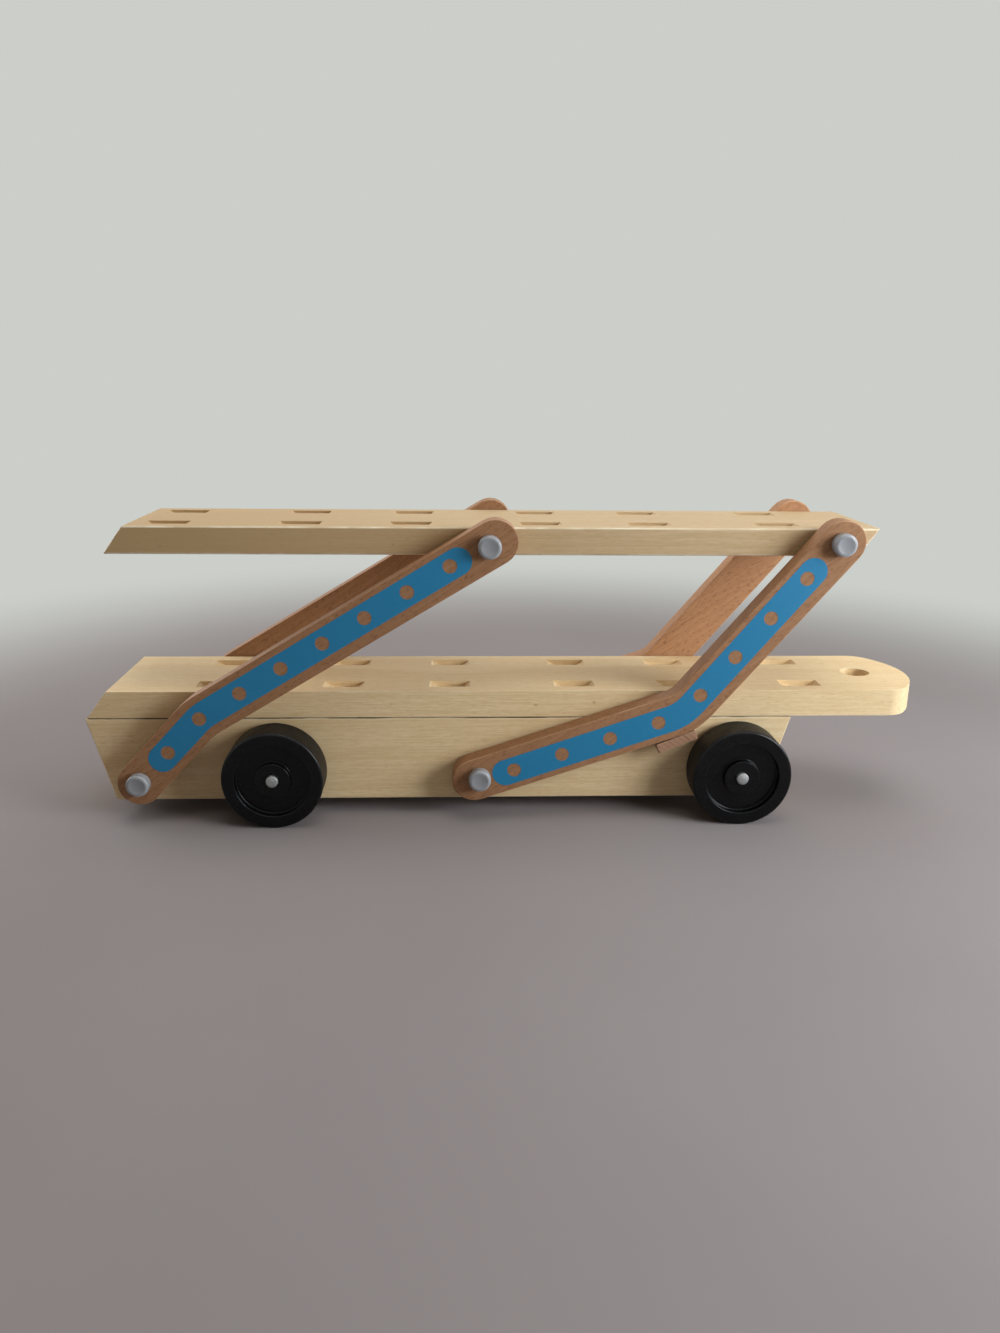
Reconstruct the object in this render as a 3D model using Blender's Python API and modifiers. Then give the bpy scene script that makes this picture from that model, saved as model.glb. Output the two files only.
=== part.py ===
"""Wooden car transporter toy: a two-deck trailer whose upper deck swings back on cranked arms.

The script is in metres with +Z up. The origin is on the floor, under the middle of the trailer.
+X points to the hitch tongue, and +Y to the trailer's left.
"""

import math

import bmesh
import bpy
from mathutils import Vector

MM = 0.001

# Driving dimensions of the planks
DECK_WIDTH = 48 * MM
DECK_THICKNESS = 10 * MM
LOWER_DECK_LENGTH = 312 * MM
UPPER_DECK_LENGTH = 275.4 * MM
UPPER_DECK_NOSE_X = 130.6 * MM
END_BEVEL_RUN = 7.4 * MM
PLANK_EDGE = 0.8 * MM
BLOCK_EDGE = 0.6 * MM
EASING_STEPS = 3

# Chassis block under the lower deck, narrower at the bottom than at the top
BLOCK_BOTTOM_Z = 5.5 * MM
BLOCK_HEIGHT = 32.3 * MM
BLOCK_NOSE_X = 104.4 * MM
BLOCK_TAIL_X = -157 * MM
BLOCK_TAIL_RUN = 8.8 * MM
BLOCK_NOSE_RUN = 9.0 * MM

# Hitch tongue
TONGUE_RADIUS = 32 * MM
TONGUE_CORNER = 9 * MM
HITCH_HOLE_RADIUS = 5.5 * MM
HITCH_HOLE_SETBACK = 19.5 * MM

# Wheel pockets: three toy cars to a deck, each pocket a plunge cut with a round cutter
CAR_COUNT = 3
CAR_PITCH = 86.4 * MM
CAR_WHEELBASE = 46.8 * MM
POCKET_ROW_Y = 14.6 * MM
POCKET_LENGTH = 15.2 * MM
POCKET_WIDTH = 7.4 * MM
POCKET_DEPTH = 3.0 * MM
LOWER_POCKETS_X = -0.5 * MM
UPPER_POCKETS_X = -14.3 * MM

# Lift linkage: equal arms on equal spans, so the upper deck stays level all the way
REAR_PIVOT = Vector((-136.5, 15.8)) * MM
PIVOT_STEP = Vector((123.6, 1.2)) * MM
ARM_STEP = Vector((126.7, 87.0)) * MM
UPPER_DECK_MID_Z = 103.2 * MM

# Arm centre lines from the lower pivot: middle of the lower end, elbow, middle of the upper end
REAR_ARM_START = Vector((-0.2, -0.6)) * MM
REAR_ARM_ELBOW = Vector((22.6, 24.1)) * MM
REAR_ARM_END = Vector((128.7, 88.2)) * MM
REAR_BEND_RADIUS = 26 * MM
FRONT_ARM_START = Vector((-2.1, -1.2)) * MM
FRONT_ARM_ELBOW = Vector((75.6, 25.0)) * MM
FRONT_ARM_END = Vector((127.3, 87.3)) * MM
FRONT_BEND_RADIUS = 16 * MM
ARM_WIDTH = 16 * MM
ARM_THICKNESS = 7.5 * MM
ARM_EDGE = 0.8 * MM

# Headed pivot pins
PIN_SHANK_RADIUS = 2.5 * MM
PIN_HEAD_RADIUS = 4.1 * MM
PIN_HEAD_HEIGHT = 3.9 * MM
PIN_HEAD_ROUNDING = 1.3 * MM
PIN_GRIP = 12 * MM
PIN_TIP_CHAMFER = 0.7 * MM

# Stops that the front arms come down on, tilted to meet the elbow's outer curve
STOP_LENGTH = 15.4 * MM
STOP_HEIGHT = 3.7 * MM
STOP_DEPTH = 7.2 * MM
STOP_TILT = math.radians(22)
STOP_SETBACK = 3.4 * MM
STOP_EDGE = 0.5 * MM

# Wheels and axles
WHEEL_RADIUS = 18.3 * MM
WHEEL_WIDTH = 12.2 * MM
WHEEL_INNER_Y = 25.9 * MM
WHEEL_RIM_WIDTH = 4.7 * MM
WHEEL_RIM_ROUNDING = 1.2 * MM
WHEEL_HUB_RADIUS = 6.8 * MM
WHEEL_HUB_DRAFT = 0.5 * MM
WHEEL_DISH_DEPTH = 2.7 * MM
WHEEL_DISH_DRAFT = 0.3 * MM
WHEEL_LIP = 0.5 * MM
WHEEL_BACK_DEPTH = 4.0 * MM
WHEEL_HUB_STANDOFF = 1.2 * MM
AXLE_RADIUS = 2.2 * MM
AXLE_HALF_LENGTH = 38.9 * MM
AXLE_DOME = 1.2 * MM
AXLE_DOME_STEPS = 3
REAR_AXLE_X = -87.8 * MM
FRONT_AXLE_X = 83.5 * MM

# Fits between pieces
SEAT_GAP = 0.3 * MM
ARM_SIDE_GAP = 0.8 * MM
CUTTER_MARGIN = 2 * MM

# Smoothness of round shapes
CAP_STEPS = 12
ELBOW_STEPS = 4
HOLE_POINTS = 16
TONGUE_STEPS = 12
TONGUE_CORNER_STEPS = 4
POCKET_CUTTER_SIDES = 40
BORE_SIDES = 20
WHEEL_STEPS = 32
PIN_STEPS = 16
PIN_ROUNDING_STEPS = 3
SMOOTH_ANGLE = math.radians(35)
FLAT_ANGLE = math.radians(1)
WELD_DISTANCE = 0.001 * MM
TURNING_WELD = 0.01 * MM

# Heights that follow from the driving dimensions
DECK_UNDERSIDE_Z = BLOCK_BOTTOM_Z + BLOCK_HEIGHT
LOWER_DECK_MID_Z = DECK_UNDERSIDE_Z + DECK_THICKNESS / 2
HALF_WIDTH = DECK_WIDTH / 2
ARM_MID_Y = HALF_WIDTH + ARM_SIDE_GAP + ARM_THICKNESS / 2
PIN_SEAT_Y = HALF_WIDTH + ARM_SIDE_GAP + ARM_THICKNESS + SEAT_GAP
FRONT_PIVOT = REAR_PIVOT + PIVOT_STEP
REAR_DECK_PIVOT = REAR_PIVOT + ARM_STEP
FRONT_DECK_PIVOT = FRONT_PIVOT + ARM_STEP
AXLE_Z = WHEEL_RADIUS * math.cos(math.pi / WHEEL_STEPS)
PIVOT_HOLE_RADIUS = PIN_SHANK_RADIUS + SEAT_GAP

SIDES = {"right": -1, "left": 1}
UPRIGHT = math.radians(90)


def clear_scene():
    for obj in list(bpy.data.objects):
        bpy.data.objects.remove(obj)


def new_collection(name):
    collection = bpy.data.collections.new(name)
    bpy.context.scene.collection.children.link(collection)
    return collection


def make_material(name, colour, roughness, metallic=0.0):
    material = bpy.data.materials.new(name)
    material.use_nodes = True
    shader = material.node_tree.nodes["Principled BSDF"]
    shader.inputs["Base Color"].default_value = (*colour, 1.0)
    shader.inputs["Roughness"].default_value = roughness
    shader.inputs["Metallic"].default_value = metallic
    return material


def make_empty(name, location, collection, parent=None):
    empty = bpy.data.objects.new(name, None)
    empty.empty_display_size = 10 * MM
    collection.objects.link(empty)
    empty.parent = parent
    empty.location = Vector(location) - (parent.location if parent else Vector())
    return empty


def make_object(name, mesh, material, collection, parent, location, rotation=(0, 0, 0)):
    """Place a mesh as a named piece; location is in the world, parents are unrotated empties."""
    if not mesh.materials:
        mesh.materials.append(material)
    obj = bpy.data.objects.new(name, mesh)
    collection.objects.link(obj)
    obj.parent = parent
    obj.location = Vector(location) - parent.matrix_world.translation
    obj.rotation_euler = rotation
    return obj


def make_cutter(name, mesh, collection):
    cutter = bpy.data.objects.new(name, mesh)
    collection.objects.link(cutter)
    cutter.hide_render = True
    cutter.display_type = "WIRE"
    return cutter


def arc_points(centre, radius, start, end, steps):
    """Points on an arc from one angle to another, both ends included."""
    angles = [start + (end - start) * i / steps for i in range(steps + 1)]
    return [Vector((centre[0] + radius * math.cos(a), centre[1] + radius * math.sin(a))) for a in angles]


def circle_points(centre, radius, count):
    return arc_points(centre, radius, 0.0, math.tau * (count - 1) / count, count - 1)


def extruded_mesh(name, outlines, thickness):
    """A flat closed outline, with any hole outlines, thickened about its own plane."""
    curve = bpy.data.curves.new(name, "CURVE")
    curve.dimensions = "2D"
    curve.fill_mode = "BOTH"
    curve.extrude = thickness / 2
    for outline in outlines:
        spline = curve.splines.new("POLY")
        spline.points.add(len(outline) - 1)
        for point, place in zip(spline.points, outline):
            point.co = (place[0], place[1], 0.0, 1.0)
        spline.use_cyclic_u = True
    source = bpy.data.objects.new(name, curve)
    bpy.context.scene.collection.objects.link(source)
    graph = bpy.context.evaluated_depsgraph_get()
    mesh = bpy.data.meshes.new_from_object(source.evaluated_get(graph))
    bpy.data.objects.remove(source)
    bpy.data.curves.remove(curve)
    mesh.name = name
    shape = bmesh.new()
    shape.from_mesh(mesh)
    bmesh.ops.remove_doubles(shape, verts=shape.verts, dist=WELD_DISTANCE)
    bmesh.ops.dissolve_limit(shape, angle_limit=FLAT_ANGLE, verts=shape.verts, edges=shape.edges)
    bmesh.ops.recalc_face_normals(shape, faces=shape.faces)
    shape.to_mesh(mesh)
    shape.free()
    return mesh


def turned_object(name, profile, steps, material, collection, parent, location, rotation):
    """A profile of (radius, height) points turned about the local Z axis.

    The profile starts half a step round, so that a flat and not a corner faces the floor.
    """
    mesh = bpy.data.meshes.new(name)
    closed = profile[0][0] > 0
    half_step = math.pi / steps
    across, along = math.cos(half_step), math.sin(half_step)
    shape = bmesh.new()
    points = [shape.verts.new((radius * across, radius * along, height)) for radius, height in profile]
    for first, second in zip(points, points[1:] + points[:1] if closed else points[1:]):
        shape.edges.new((first, second))
    shape.to_mesh(mesh)
    shape.free()
    obj = make_object(name, mesh, material, collection, parent, location, rotation)
    screw = obj.modifiers.new("turning", "SCREW")
    screw.axis = "Z"
    screw.steps = steps
    screw.render_steps = steps
    screw.use_merge_vertices = True
    screw.merge_threshold = TURNING_WELD
    screw.use_smooth_shade = True
    return obj


def ease_edges(obj, width):
    bevel = obj.modifiers.new("eased edges", "BEVEL")
    bevel.width = width
    bevel.segments = EASING_STEPS
    bevel.limit_method = "ANGLE"
    bevel.angle_limit = SMOOTH_ANGLE


def cut(obj, cutter):
    boolean = obj.modifiers.new(cutter.name, "BOOLEAN")
    boolean.operation = "DIFFERENCE"
    boolean.object = cutter


def cylinder_cutters(name, places, radius, length, sides, collection):
    """Cylinders along Y, joined as one cutter, each centred on a place."""
    mesh = bpy.data.meshes.new(name)
    shape = bmesh.new()
    for place in places:
        made = bmesh.ops.create_cone(
            shape, cap_ends=True, segments=sides, radius1=radius, radius2=radius, depth=length
        )
        for vert in made["verts"]:
            x, y, z = vert.co
            vert.co = Vector(place) + Vector((x, -z, y))
    shape.to_mesh(mesh)
    shape.free()
    return make_cutter(name, mesh, collection)


def pocket_cutters(name, centre_x, deck_top, collection):
    """One round cutter for each wheel of each toy car on a deck."""
    half = POCKET_LENGTH / 2
    cutter_radius = (half**2 + POCKET_DEPTH**2) / (2 * POCKET_DEPTH)
    cutter_z = deck_top + cutter_radius - POCKET_DEPTH
    places = []
    for car in range(CAR_COUNT):
        car_x = centre_x + (car - (CAR_COUNT - 1) / 2) * CAR_PITCH
        for wheel_x in (car_x - CAR_WHEELBASE / 2, car_x + CAR_WHEELBASE / 2):
            for side in SIDES.values():
                places.append((wheel_x, side * POCKET_ROW_Y, cutter_z))
    return cylinder_cutters(name, places, cutter_radius, POCKET_WIDTH, POCKET_CUTTER_SIDES, collection)


def tongue_outline():
    """Plan of the lower deck: square at the tail, a round tongue with softer corners at the hitch."""
    tail_x, tip_x = -LOWER_DECK_LENGTH / 2, LOWER_DECK_LENGTH / 2
    centre_x = tip_x - TONGUE_RADIUS
    corner_y = HALF_WIDTH - TONGUE_CORNER
    sweep = math.asin(corner_y / (TONGUE_RADIUS - TONGUE_CORNER))
    corner_x = centre_x + (TONGUE_RADIUS - TONGUE_CORNER) * math.cos(sweep)
    steps = TONGUE_CORNER_STEPS
    right = arc_points((corner_x, -corner_y), TONGUE_CORNER, -UPRIGHT, -sweep, steps)
    left = arc_points((corner_x, corner_y), TONGUE_CORNER, sweep, UPRIGHT, steps)
    tip = arc_points((centre_x, 0.0), TONGUE_RADIUS, -sweep, sweep, TONGUE_STEPS)
    return [Vector((tail_x, -HALF_WIDTH)), *right, *tip[1:-1], *left, Vector((tail_x, HALF_WIDTH))]


def make_lower_deck(material, collection, cutters, parent):
    hole_x = LOWER_DECK_LENGTH / 2 - HITCH_HOLE_SETBACK
    outlines = [tongue_outline(), circle_points((hole_x, 0.0), HITCH_HOLE_RADIUS, BORE_SIDES)]
    mesh = extruded_mesh("lower_deck", outlines, DECK_THICKNESS)
    for vert in mesh.vertices:
        if vert.co.x < -LOWER_DECK_LENGTH / 2 + CUTTER_MARGIN and vert.co.z > 0:
            vert.co.x += END_BEVEL_RUN
    deck = make_object("lower_deck", mesh, material, collection, parent, (0, 0, LOWER_DECK_MID_Z))
    ease_edges(deck, PLANK_EDGE)
    deck_top = LOWER_DECK_MID_Z + DECK_THICKNESS / 2
    cut(deck, pocket_cutters("lower_pockets", LOWER_POCKETS_X, deck_top, cutters))
    return deck


def make_upper_deck(material, collection, cutters, parent):
    nose_x, tail_x = UPPER_DECK_NOSE_X, UPPER_DECK_NOSE_X - UPPER_DECK_LENGTH
    half = DECK_THICKNESS / 2
    outline = [
        (tail_x, -half),
        (nose_x - END_BEVEL_RUN, -half),
        (nose_x, half),
        (tail_x + END_BEVEL_RUN, half),
    ]
    mesh = extruded_mesh("upper_deck", [outline], DECK_WIDTH)
    place = (0, 0, UPPER_DECK_MID_Z)
    deck = make_object("upper_deck", mesh, material, collection, parent, place, (UPRIGHT, 0, 0))
    ease_edges(deck, PLANK_EDGE)
    deck_top = UPPER_DECK_MID_Z + half
    cut(deck, pocket_cutters("upper_pockets", UPPER_POCKETS_X, deck_top, cutters))
    cut(deck, pin_hole_cutters("upper_pin_holes", (REAR_DECK_PIVOT, FRONT_DECK_PIVOT), cutters))
    return deck


def pin_hole_cutters(name, pivots, collection):
    """Blind holes in both side faces for the pivot pins' shanks."""
    depth = PIN_GRIP + SEAT_GAP
    length = depth + CUTTER_MARGIN
    middle_y = HALF_WIDTH - depth + length / 2
    places = [(x, side * middle_y, z) for x, z in pivots for side in SIDES.values()]
    return cylinder_cutters(name, places, PIVOT_HOLE_RADIUS, length, BORE_SIDES, collection)


def make_chassis_block(material, collection, cutters, parent):
    top, bottom = DECK_UNDERSIDE_Z - SEAT_GAP, BLOCK_BOTTOM_Z
    outline = [
        (BLOCK_TAIL_X + BLOCK_TAIL_RUN, bottom),
        (BLOCK_NOSE_X - BLOCK_NOSE_RUN, bottom),
        (BLOCK_NOSE_X, top),
        (BLOCK_TAIL_X, top),
    ]
    mesh = extruded_mesh("chassis_block", [outline], DECK_WIDTH)
    block = make_object("chassis_block", mesh, material, collection, parent, (0, 0, 0), (UPRIGHT, 0, 0))
    ease_edges(block, BLOCK_EDGE)
    axles = [(x, 0.0, AXLE_Z) for x in (REAR_AXLE_X, FRONT_AXLE_X)]
    bore_length = DECK_WIDTH + 2 * CUTTER_MARGIN
    bores = cylinder_cutters("axle_bores", axles, AXLE_RADIUS + SEAT_GAP, bore_length, BORE_SIDES, cutters)
    cut(block, bores)
    cut(block, pin_hole_cutters("lower_pin_holes", (REAR_PIVOT, FRONT_PIVOT), cutters))
    return block


def bend_of(start, elbow, end, radius):
    """Centre of a bar's bend, and the directions of the legs before and after it."""
    first = (elbow - start).normalized()
    second = (end - elbow).normalized()
    turn = math.atan2(first.x * second.y - first.y * second.x, first.dot(second))
    inward = Vector((-first.y, first.x)) * math.copysign(1.0, turn)
    centre = elbow - first * radius * math.tan(abs(turn) / 2) + inward * radius
    return centre, first, second, math.copysign(1.0, turn)


def bent_bar_outline(start, elbow, end, radius):
    """Outline of a bar with one bend and two round ends."""
    half = ARM_WIDTH / 2
    bend, first, second, way = bend_of(start, elbow, end, radius)
    first_angle, second_angle = math.atan2(first.y, first.x), math.atan2(second.y, second.x)
    bend_start, bend_end = first_angle - way * UPRIGHT, second_angle - way * UPRIGHT
    outline = arc_points(bend, radius + way * half, bend_start, bend_end, ELBOW_STEPS)
    outline += arc_points(end, half, second_angle - UPRIGHT, second_angle + UPRIGHT, CAP_STEPS)
    outline += arc_points(bend, radius - way * half, bend_end, bend_start, ELBOW_STEPS)
    outline += arc_points(start, half, first_angle + UPRIGHT, first_angle + 3 * UPRIGHT, CAP_STEPS)
    return outline


def make_arms(which, outline, pivot, material, collection, parent):
    """The pair of arms of one axis, right and left, sharing one shape."""
    holes = [circle_points(centre, PIVOT_HOLE_RADIUS, HOLE_POINTS) for centre in ((0.0, 0.0), ARM_STEP)]
    mesh = extruded_mesh(f"{which}_arm", [outline, *holes], ARM_THICKNESS)
    for side, sign in SIDES.items():
        place = (pivot.x, sign * ARM_MID_Y, pivot.y)
        arm = make_object(f"{which}_arm_{side}", mesh, material, collection, parent, place, (UPRIGHT, 0, 0))
        ease_edges(arm, ARM_EDGE)


def pin_profile():
    """Head with a rounded rim, then a shank through the arm and into the wood."""
    rounding = [
        (PIN_HEAD_RADIUS - PIN_HEAD_ROUNDING + p.x, PIN_HEAD_HEIGHT - PIN_HEAD_ROUNDING + p.y)
        for p in arc_points((0.0, 0.0), PIN_HEAD_ROUNDING, UPRIGHT, 0.0, PIN_ROUNDING_STEPS)
    ]
    tip = -(PIN_SEAT_Y - HALF_WIDTH + PIN_GRIP)
    head = [(0.0, PIN_HEAD_HEIGHT), *rounding, (PIN_HEAD_RADIUS, 0.0), (PIN_SHANK_RADIUS, 0.0)]
    shank = [
        (PIN_SHANK_RADIUS, tip + PIN_TIP_CHAMFER),
        (PIN_SHANK_RADIUS - PIN_TIP_CHAMFER, tip),
        (0.0, tip),
    ]
    return head + shank


def make_pins(which, pivot, material, collection, parent):
    for side, sign in SIDES.items():
        name = f"{which}_pin_{side}"
        place = (pivot.x, sign * PIN_SEAT_Y, pivot.y)
        turn = (-sign * UPRIGHT, 0, 0)
        turned_object(name, pin_profile(), PIN_STEPS, material, collection, parent, place, turn)


def make_arm_stops(material, collection, parent):
    """Short blocks on the chassis sides, touching the outer curve of the front arms' elbows."""
    bend = bend_of(FRONT_ARM_START, FRONT_ARM_ELBOW, FRONT_ARM_END, FRONT_BEND_RADIUS)[0]
    along = Vector((math.cos(STOP_TILT), math.sin(STOP_TILT)))
    below = Vector((along.y, -along.x))
    drop = FRONT_BEND_RADIUS + ARM_WIDTH / 2 + SEAT_GAP + STOP_HEIGHT / 2
    centre = FRONT_PIVOT + bend + below * drop - along * STOP_SETBACK
    shape = bmesh.new()
    bmesh.ops.create_cube(shape, size=1.0)
    bmesh.ops.scale(shape, vec=(STOP_LENGTH, STOP_DEPTH, STOP_HEIGHT), verts=shape.verts)
    mesh = bpy.data.meshes.new("arm_stop")
    shape.to_mesh(mesh)
    shape.free()
    for side, sign in SIDES.items():
        name, turn = f"arm_stop_{side}", (0, -STOP_TILT, 0)
        place = (centre.x, sign * (HALF_WIDTH + SEAT_GAP + STOP_DEPTH / 2), centre.y)
        stop = make_object(name, mesh, material, collection, parent, place, turn)
        ease_edges(stop, STOP_EDGE)


def wheel_profile():
    """Rim, dished face and hub boss outside; hollow back and standoff hub inside."""
    bore = AXLE_RADIUS + SEAT_GAP
    face, dish = WHEEL_WIDTH, WHEEL_WIDTH - WHEEL_DISH_DEPTH
    dish_radius = WHEEL_RADIUS - WHEEL_RIM_WIDTH
    boss_radius = WHEEL_HUB_RADIUS - WHEEL_HUB_DRAFT
    rim_start = WHEEL_RADIUS - WHEEL_RIM_ROUNDING
    rim_end = face - WHEEL_RIM_ROUNDING
    rim_point = WHEEL_RIM_ROUNDING * math.sin(UPRIGHT / 2)
    return [
        (bore, face - WHEEL_LIP),
        (boss_radius - WHEEL_LIP, face - WHEEL_LIP),
        (boss_radius, face - 2 * WHEEL_LIP),
        (WHEEL_HUB_RADIUS, dish),
        (dish_radius - WHEEL_DISH_DRAFT, dish),
        (dish_radius, face - WHEEL_LIP),
        (dish_radius + WHEEL_LIP, face),
        (rim_start, face),
        (rim_start + rim_point, rim_end + rim_point),
        (WHEEL_RADIUS, rim_end),
        (WHEEL_RADIUS, WHEEL_LIP),
        (WHEEL_RADIUS - WHEEL_LIP, 0.0),
        (dish_radius + WHEEL_LIP, 0.0),
        (dish_radius, WHEEL_BACK_DEPTH),
        (WHEEL_HUB_RADIUS, WHEEL_BACK_DEPTH),
        (boss_radius, -WHEEL_HUB_STANDOFF),
        (bore, -WHEEL_HUB_STANDOFF),
    ]


def axle_profile():
    """Steel rod with a domed end past each wheel hub."""
    straight = AXLE_HALF_LENGTH - AXLE_DOME
    quarter = arc_points((0.0, 0.0), 1.0, UPRIGHT, 0.0, AXLE_DOME_STEPS)
    dome = [(AXLE_RADIUS * point.x, straight + AXLE_DOME * point.y) for point in quarter]
    dome[0] = (0.0, AXLE_HALF_LENGTH)
    return dome + [(radius, -height) for radius, height in reversed(dome)]


def make_wheelset(which, axle_x, tyre, steel, collection, parent):
    """One axle with a wheel pressed on each end."""
    centre = make_empty(f"{which}_axle_centre", (axle_x, 0, AXLE_Z), collection, parent)
    bpy.context.view_layer.update()
    name, place, turn = f"{which}_axle", (axle_x, 0, AXLE_Z), (UPRIGHT, 0, 0)
    turned_object(name, axle_profile(), PIN_STEPS, steel, collection, centre, place, turn)
    for side, sign in SIDES.items():
        place = (axle_x, sign * WHEEL_INNER_Y, AXLE_Z)
        turn = (-sign * UPRIGHT, 0, 0)
        name = f"{which}_wheel_{side}"
        turned_object(name, wheel_profile(), WHEEL_STEPS, tyre, collection, centre, place, turn)


def main():
    clear_scene()
    parts = new_collection("car_transporter")
    cutters = new_collection("cutters")
    pale_wood = make_material("pale_wood", (0.70, 0.52, 0.31), 0.45)
    red_wood = make_material("red_wood", (0.48, 0.24, 0.12), 0.5)
    grey_plastic = make_material("grey_plastic", (0.42, 0.45, 0.48), 0.4)
    black_plastic = make_material("black_plastic", (0.012, 0.012, 0.014), 0.35)
    steel = make_material("steel", (0.6, 0.6, 0.6), 0.3, 1.0)

    trailer = make_empty("trailer", (0, 0, 0), parts)
    places = {"rear_arm": REAR_PIVOT, "front_arm": FRONT_PIVOT, "upper_deck": REAR_DECK_PIVOT}
    pivots = {
        name: make_empty(f"{name}_pivot", (place.x, 0, place.y), parts, trailer)
        for name, place in places.items()
    }
    bpy.context.view_layer.update()

    make_chassis_block(pale_wood, parts, cutters, trailer)
    make_lower_deck(pale_wood, parts, cutters, trailer)
    make_arm_stops(red_wood, parts, trailer)
    make_pins("rear_lower", REAR_PIVOT, grey_plastic, parts, trailer)
    make_pins("front_lower", FRONT_PIVOT, grey_plastic, parts, trailer)

    make_wheelset("rear", REAR_AXLE_X, black_plastic, steel, parts, trailer)
    make_wheelset("front", FRONT_AXLE_X, black_plastic, steel, parts, trailer)

    rear_bar = bent_bar_outline(REAR_ARM_START, REAR_ARM_ELBOW, REAR_ARM_END, REAR_BEND_RADIUS)
    front_bar = bent_bar_outline(FRONT_ARM_START, FRONT_ARM_ELBOW, FRONT_ARM_END, FRONT_BEND_RADIUS)
    make_arms("rear", rear_bar, REAR_PIVOT, red_wood, parts, pivots["rear_arm"])
    make_arms("front", front_bar, FRONT_PIVOT, red_wood, parts, pivots["front_arm"])

    make_upper_deck(pale_wood, parts, cutters, pivots["upper_deck"])
    make_pins("rear_upper", REAR_DECK_PIVOT, grey_plastic, parts, pivots["upper_deck"])
    make_pins("front_upper", FRONT_DECK_PIVOT, grey_plastic, parts, pivots["upper_deck"])

    for obj in parts.objects:
        if obj.type == "MESH":
            obj.data.shade_smooth()
            obj.data.set_sharp_from_angle(angle=SMOOTH_ANGLE)


main()
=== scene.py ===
"""Looks of a wooden car transporter trailer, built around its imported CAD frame.

Everything is in metres in the row frame: +X to the hitch tongue, +Y to the trailer's left, +Z up.
Turning profiles, stripe corners and the places inside finishes are in millimetres.
The decks, the block, the arms and their stops keep their CAD shape and get finishes here.
Wheels, axles and pins are turned again with finer mouldings. The arms get their printed stripes, and
the joint under the lower deck gets its glue.
"""

import math

import bmesh
import bpy
from mathutils import Euler, Matrix, Vector


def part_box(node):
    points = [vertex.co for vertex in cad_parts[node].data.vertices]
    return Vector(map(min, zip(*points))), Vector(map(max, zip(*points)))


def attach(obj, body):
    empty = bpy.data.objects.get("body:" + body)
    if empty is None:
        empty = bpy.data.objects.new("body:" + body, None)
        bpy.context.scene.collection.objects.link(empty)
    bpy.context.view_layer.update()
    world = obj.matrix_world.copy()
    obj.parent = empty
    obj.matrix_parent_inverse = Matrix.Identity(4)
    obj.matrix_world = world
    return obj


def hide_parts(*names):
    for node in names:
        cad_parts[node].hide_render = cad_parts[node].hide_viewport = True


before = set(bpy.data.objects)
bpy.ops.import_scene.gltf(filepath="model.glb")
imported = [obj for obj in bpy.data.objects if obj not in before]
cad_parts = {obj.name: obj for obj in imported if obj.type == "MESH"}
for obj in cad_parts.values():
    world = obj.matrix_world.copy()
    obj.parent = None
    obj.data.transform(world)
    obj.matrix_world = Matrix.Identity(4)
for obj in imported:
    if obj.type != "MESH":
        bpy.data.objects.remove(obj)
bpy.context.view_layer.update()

MM = 0.001
QUARTER = math.radians(90)
SIDES = {"right": -1, "left": 1}
ENDS = ("rear", "front")

# View of the photograph, fitted to the model's corners
LENS_MM = 27.31
SENSOR_MM = 36
CAMERA_NEAR = 0.01
CAMERA_PLACE = (-0.0211, -0.37905, 0.160)
CAMERA_YAW = math.radians(2.524)
CAMERA_PITCH = math.radians(16.131)
CAMERA_ROLL = math.radians(0.6115)

# Studio: the floor, the backdrop as it shows, how far out the floor fades into it, and the room's light
FLOOR_RADIUS = 5.0
FLOOR_POINTS = 96
FLOOR_DROP = 0.1 * MM
FLOOR_MOTTLING = 6.0
FLOOR_DARK = (0.26, 0.235, 0.24)
FLOOR_LIGHT = (0.28, 0.255, 0.26)
FLOOR_ROUGHNESS = (0.86, 0.94)
FLOOR_SHEEN = 0.25
BACKDROP_COLOUR = (0.60, 0.62, 0.585, 1.0)
BACKDROP_FADE = (0.24, 0.52)
ROOM_LIGHT = (1.0, 0.84, 0.64, 1.0)
ROOM_STRENGTH = 0.115

# Colours of the woods. The upper deck's colours are the pale wood darkened as a painted shade,
# and the arms listed last get beech lightened as a painted light.
# Each corner colour lightens the eased edges, partly as wear and partly as a painted highlight.
PALE_COLOURS = {
    "early wood": (0.88, 0.71, 0.44),
    "late wood": (0.72, 0.51, 0.255),
    "flecks": (0.31, 0.175, 0.08),
    "corner wear and painted highlight": (0.92, 0.85, 0.67),
}
# Painted shade: the pale wood darkened for the upper deck
UPPER_DECK_PAINTED_SHADE_COLOURS = {
    "early wood": (0.64, 0.485, 0.29),
    "late wood": (0.51, 0.348, 0.175),
    "flecks": (0.24, 0.135, 0.06),
    "corner wear and painted highlight": (0.86, 0.77, 0.58),
}
BEECH_COLOURS = {
    "early wood": (0.40, 0.21, 0.103),
    "late wood": (0.285, 0.132, 0.057),
    "flecks": (0.10, 0.038, 0.016),
    "corner wear and painted highlight": (0.49, 0.28, 0.15),
}
# Painted light: beech lightened for the front left arm, whose inner face the window lights
BEECH_COLOURS_WITH_PAINTED_LIGHT = {
    "early wood": (0.52, 0.28, 0.14),
    "late wood": (0.38, 0.18, 0.08),
    "flecks": (0.13, 0.05, 0.022),
    "corner wear and painted highlight": (0.61, 0.36, 0.20),
}
END_GRAIN_COLOURS = {
    "early wood": (0.50, 0.30, 0.19),
    "late wood": (0.25, 0.125, 0.07),
    "flecks": (0.17, 0.08, 0.042),
    "corner wear and painted highlight": (0.60, 0.40, 0.26),
}
# Arms that get the lightened beech as a painted light
ARMS_WITH_PAINTED_LIGHT = {("front", "left")}

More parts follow.
